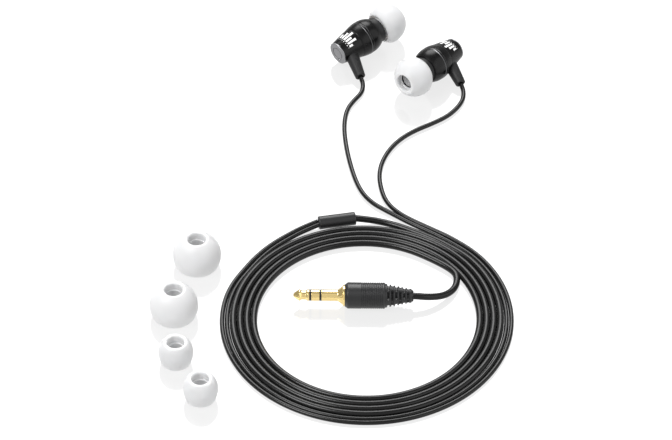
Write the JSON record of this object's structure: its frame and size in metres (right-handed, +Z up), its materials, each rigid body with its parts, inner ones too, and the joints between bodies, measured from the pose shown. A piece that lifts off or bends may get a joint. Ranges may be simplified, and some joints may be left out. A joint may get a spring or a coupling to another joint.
{
  "type": "in ear monitors",
  "caption": "In ear monitors with silicone ear tips, Y splitter, flat coiled cord, stereo jack plug and spare ear tips, laid out on a surface.",
  "frame": {"origin": "on the surface, under the middle of the monitors and the spare ear tips", "axes": "+Z up, +Y from the coiled cord towards the monitors, +X to the right of the plug's tip"},
  "size_m": [0.111, 0.1844, 0.0128],
  "materials": {
    "white_silicone": "soft translucent satin",
    "anodised_black": "satin anodised",
    "satin_grey": "fine satin",
    "boot_rubber": "matte",
    "plug_rubber": "matte moulded",
    "cord_jacket": "satin jacket",
    "gold_plate": "polished gold plate",
    "black_plastic": "matte",
    "screen_steel": "woven screen",
    "bright_steel": "nickel plated",
    "copper": "enamelled wire",
    "film": "thin film",
    "board": "solder mask",
    "felt": "felt"
  },
  "bodies": {
    "cord": {"cord_coil": "cord_jacket", "plug_tail": "cord_jacket", "splitter_tail": "cord_jacket", "left_lead_start": "cord_jacket", "right_lead_start": "cord_jacket", "left_lead": "cord_jacket", "right_lead": "cord_jacket", "splitter_shell": "boot_rubber", "splitter_core": "boot_rubber"},
    "plug": {"jack_tip": "gold_plate", "insulator_front": "black_plastic", "jack_ring": "gold_plate", "insulator_rear": "black_plastic", "jack_sleeve": "gold_plate", "plug_core": "black_plastic", "plug_body": "plug_rubber", "plug_relief": "plug_rubber"},
    "left_monitor": {"left_nozzle_mesh": "screen_steel", "left_front_shell": "anodised_black", "left_trim_ring": "anodised_black", "left_rear_shell": "anodised_black", "left_end_cap": "satin_grey", "left_boot": "boot_rubber", "left_driver_frame": "black_plastic", "left_yoke": "bright_steel", "left_magnet": "bright_steel", "left_top_plate": "bright_steel", "left_terminal_board": "board", "left_cord_crimp": "bright_steel", "left_acoustic_damper": "felt"},
    "left_cone": {"left_voice_coil": "copper", "left_diaphragm": "film"},
    "left_tip": {"left_ear_tip": "white_silicone"},
    "right_monitor": {"right_nozzle_mesh": "screen_steel", "right_front_shell": "anodised_black", "right_trim_ring": "anodised_black", "right_rear_shell": "anodised_black", "right_end_cap": "satin_grey", "right_boot": "boot_rubber", "right_driver_frame": "black_plastic", "right_yoke": "bright_steel", "right_magnet": "bright_steel", "right_top_plate": "bright_steel", "right_terminal_board": "board", "right_cord_crimp": "bright_steel", "right_acoustic_damper": "felt"},
    "right_cone": {"right_voice_coil": "copper", "right_diaphragm": "film"},
    "right_tip": {"right_ear_tip": "white_silicone"},
    "spare_tip_large_a": {"spare_tip_large_a": "white_silicone"},
    "spare_tip_large_b": {"spare_tip_large_b": "white_silicone"},
    "spare_tip_small_a": {"spare_tip_small_a": "white_silicone"},
    "spare_tip_small_b": {"spare_tip_small_b": "white_silicone"}
  },
  "joints": [
    {"name": "plug_lift", "type": "hinge", "parent": "cord", "child": "plug", "pos_m": [0.029, -0.04318, 0.004], "axis": [0.0122, 0.9999, 0], "range_deg": [0, 40]},
    {"name": "left_boot_flex", "type": "hinge", "parent": "cord", "child": "left_monitor", "pos_m": [0.01476, 0.06214, 0.0017], "axis": [0, 0, 1], "range_deg": [-15, 15]},
    {"name": "left_cone_travel", "type": "slide", "parent": "left_monitor", "child": "left_cone", "axis": [0.7635, 0.6407, 0.0812], "range_m": [-0.00015, 0.00015], "stiffness_N_per_m": 70},
    {"name": "left_tip_pull", "type": "slide", "parent": "left_monitor", "child": "left_tip", "axis": [0.7635, 0.6407, 0.0812], "range_m": [0, 0.008]},
    {"name": "right_boot_flex", "type": "hinge", "parent": "cord", "child": "right_monitor", "pos_m": [0.04647, 0.05875, 0.0017], "axis": [0, 0, 1], "range_deg": [-15, 15]},
    {"name": "right_cone_travel", "type": "slide", "parent": "right_monitor", "child": "right_cone", "axis": [-0.6407, -0.7635, 0.0812], "range_m": [-0.00015, 0.00015], "stiffness_N_per_m": 70},
    {"name": "right_tip_pull", "type": "slide", "parent": "right_monitor", "child": "right_tip", "axis": [-0.6407, -0.7635, 0.0812], "range_m": [0, 0.008]},
    {"name": "spare_tip_large_a_lift", "type": "slide", "parent": "cord", "child": "spare_tip_large_a", "axis": [0, 0, 1], "range_m": [0, 0.025]},
    {"name": "spare_tip_large_b_lift", "type": "slide", "parent": "cord", "child": "spare_tip_large_b", "axis": [0, 0, 1], "range_m": [0, 0.025]},
    {"name": "spare_tip_small_a_lift", "type": "slide", "parent": "cord", "child": "spare_tip_small_a", "axis": [0, 0, 1], "range_m": [0, 0.025]},
    {"name": "spare_tip_small_b_lift", "type": "slide", "parent": "cord", "child": "spare_tip_small_b", "axis": [0, 0, 1], "range_m": [0, 0.025]}
  ]
}
